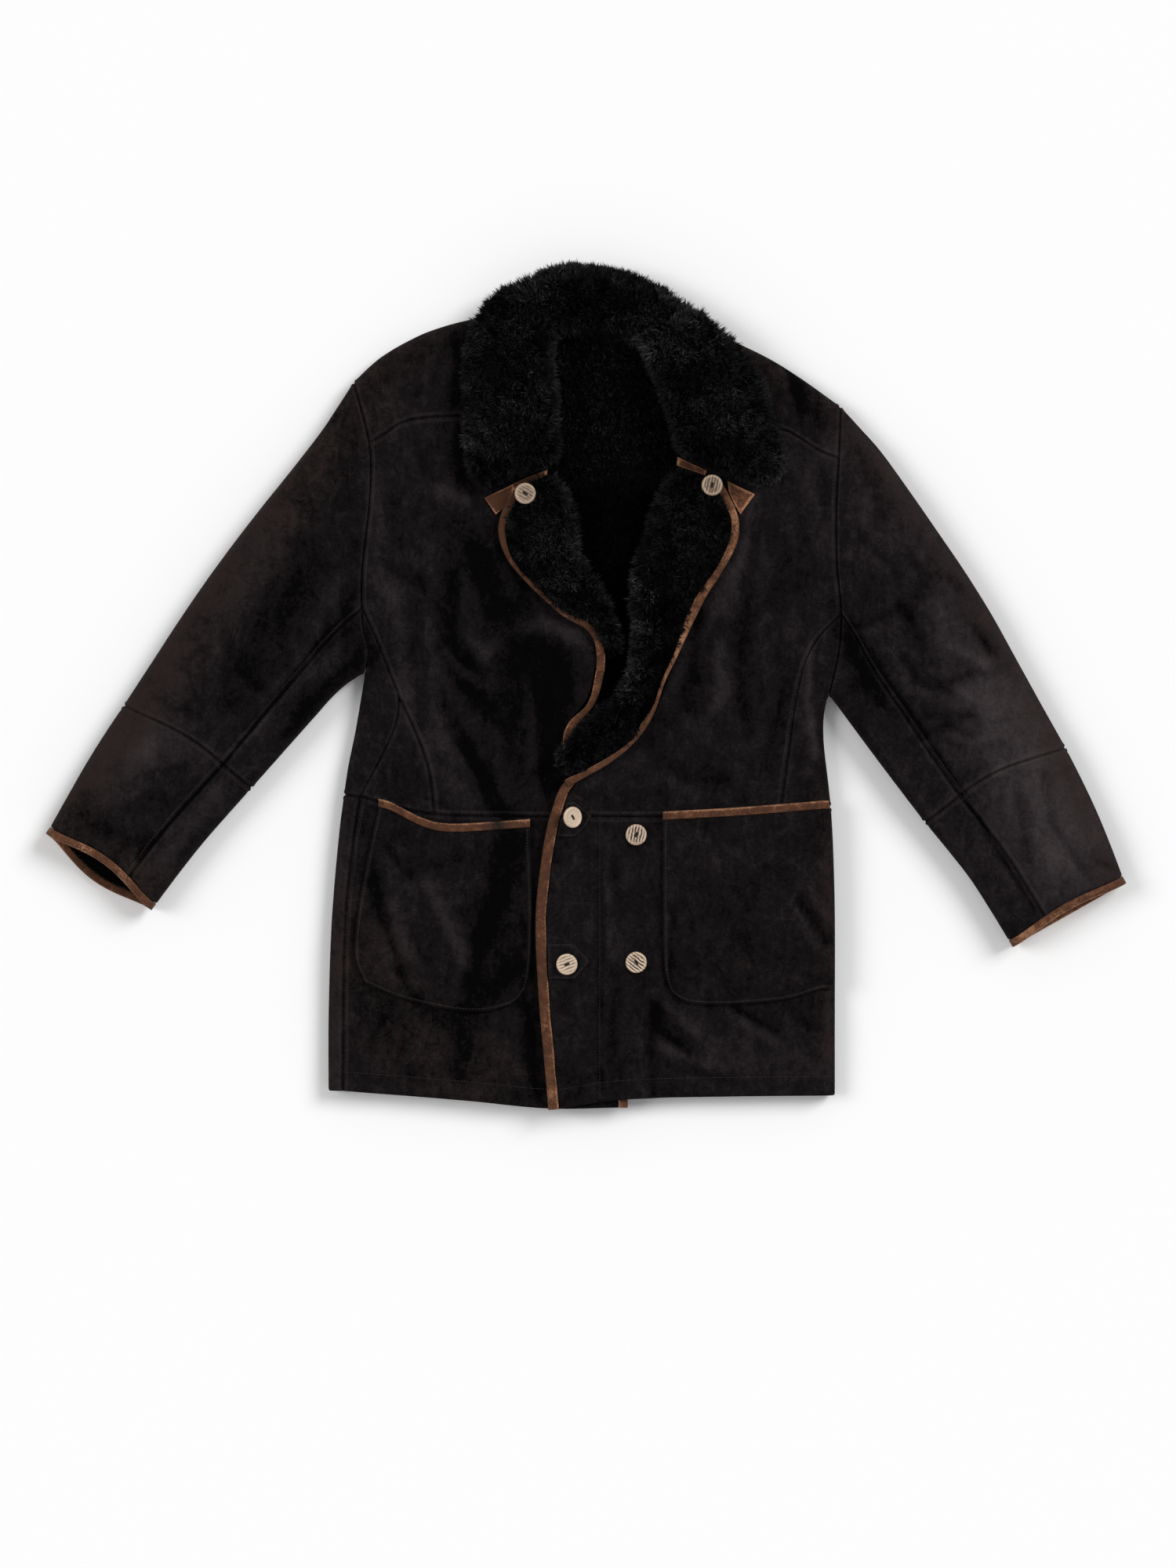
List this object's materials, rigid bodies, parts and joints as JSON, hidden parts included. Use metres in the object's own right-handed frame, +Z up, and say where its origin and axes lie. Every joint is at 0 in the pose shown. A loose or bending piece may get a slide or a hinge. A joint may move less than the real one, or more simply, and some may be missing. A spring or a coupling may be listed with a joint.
{
  "type": "shearling coat",
  "caption": "Dark double-breasted shearling coat laid flat, with a wide fur collar, turned-back lapels, patch pockets and bound edges.",
  "frame": {"origin": "under the middle of the laid-out coat, on the surface it lies on", "axes": "+X to the wearer's left, +Y from the hem to the collar, +Z up from the surface it lies on"},
  "size_m": [1.1731, 0.917, 0.057],
  "materials": {
    "suede": "napped",
    "fur": "long clumped pile",
    "binding": "worn suede",
    "button": "ridged grain, satin"
  },
  "bodies": {
    "root": {"back_upper": "suede", "back_lower": "suede", "right_front_upper": "suede", "left_front_upper": "suede", "right_front_lower": "suede", "left_front_lower": "suede", "right_side_upper": "suede", "right_side_lower": "suede", "right_side_front": "suede", "left_side_upper": "suede", "left_side_lower": "suede", "right_yoke": "suede", "left_yoke": "suede", "right_upper_sleeve": "suede", "right_under_sleeve": "suede", "right_upper_cuff": "suede", "right_under_cuff": "suede", "right_cuff_binding": "binding", "left_upper_sleeve": "suede", "left_under_sleeve": "suede", "left_upper_cuff": "suede", "left_under_cuff": "suede", "left_cuff_binding": "binding", "collar": "fur", "right_lapel": "fur", "left_lapel": "fur", "right_lapel_binding": "binding", "left_lapel_binding": "binding", "right_front_binding": "binding", "left_front_binding": "binding", "right_pocket": "suede", "left_pocket": "suede", "right_pocket_binding": "binding", "left_pocket_binding": "binding", "right_gorge_strip": "binding", "left_gorge_strip": "binding", "right_collar_tab": "binding", "left_collar_tab": "binding", "upper_buttonhole_patch": "suede", "lower_buttonhole_patch": "suede", "right_lapel_button": "button", "left_lapel_button": "button", "upper_inner_button": "button", "upper_outer_button": "button", "lower_inner_button": "button", "lower_outer_button": "button"}
  },
  "joints": []
}
